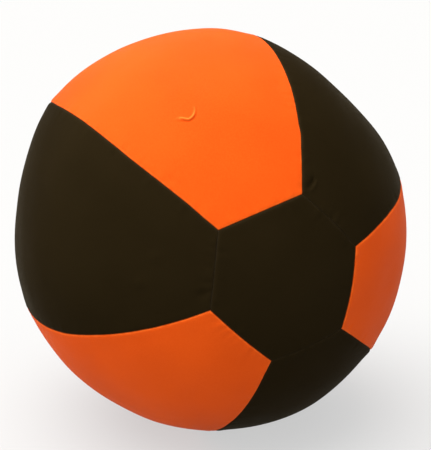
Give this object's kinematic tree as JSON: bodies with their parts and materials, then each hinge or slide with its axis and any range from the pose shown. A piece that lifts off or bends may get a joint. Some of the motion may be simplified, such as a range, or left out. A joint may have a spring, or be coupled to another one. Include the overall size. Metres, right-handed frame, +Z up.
{
  "type": "fabric-covered inflatable ball",
  "caption": "Large inflatable play ball: a taut sewn cover of orange and black panels with hexagonal end caps, a zip, a rubber bladder inside and a stopper valve.",
  "frame": {"origin": "centre of the flat patch the ball stands on, directly under the ball's centre", "axes": "+Z up; the line through the two hexagonal caps is along Y, with the plain front cap towards -Y and the valve cap towards +Y; +X to the right when looking along +Y"},
  "size_m": [0.6498, 0.65, 0.6474],
  "materials": {
    "orange_fabric": "matte",
    "black_fabric": "matte",
    "seam_tape": "matte",
    "zip_tape": "matte",
    "zip_teeth": "satin",
    "zip_metal": "satin",
    "bladder_rubber": "satin",
    "valve_rubber": "matte",
    "valve_plastic": "satin",
    "thread": "matte",
    "label_fabric": "matte"
  },
  "bodies": {
    "cover": {"black_gore_1": "black_fabric", "black_gore_2": "black_fabric", "black_gore_3": "black_fabric", "bladder": "bladder_rubber", "care_label": "label_fabric", "front_cap": "black_fabric", "front_cap_binding": "seam_tape", "orange_gore_1": "orange_fabric", "orange_gore_2": "orange_fabric", "orange_gore_3": "orange_fabric", "port_ring": "seam_tape", "port_stitching": "thread", "rear_cap": "black_fabric", "rear_cap_binding": "seam_tape", "seam_binding_1": "seam_tape", "seam_binding_2": "seam_tape", "seam_binding_3": "seam_tape", "seam_binding_4": "seam_tape", "seam_binding_5": "seam_tape", "seam_binding_6": "seam_tape", "valve_seat": "valve_rubber", "zip_bottom_stop": "zip_metal", "zip_guard_flap": "zip_tape", "zip_stitching": "thread", "zip_tape_left": "zip_tape", "zip_tape_right": "zip_tape", "zip_teeth_left": "zip_teeth", "zip_teeth_right": "zip_teeth", "zip_top_stops": "zip_metal"},
    "slider": {"zip_slider": "zip_metal"},
    "pull_tab": {"zip_pull_tab": "zip_metal"},
    "plug": {"valve_plug": "valve_plastic"}
  },
  "joints": [
    {"name": "zip_run", "type": "hinge", "parent": "cover", "child": "slider", "pos_m": [0, 0, 0.3225], "axis": [0.9744, 0, -0.225], "range_deg": [0, 45]},
    {"name": "tab_swing", "type": "hinge", "parent": "slider", "child": "pull_tab", "pos_m": [0.03962, 0.2766, 0.49412], "axis": [0.9744, 0, -0.225], "range_deg": [0, 175]},
    {"name": "plug_pull", "type": "slide", "parent": "cover", "child": "plug", "axis": [0, 1, 0], "range_m": [0, 0.014]}
  ]
}
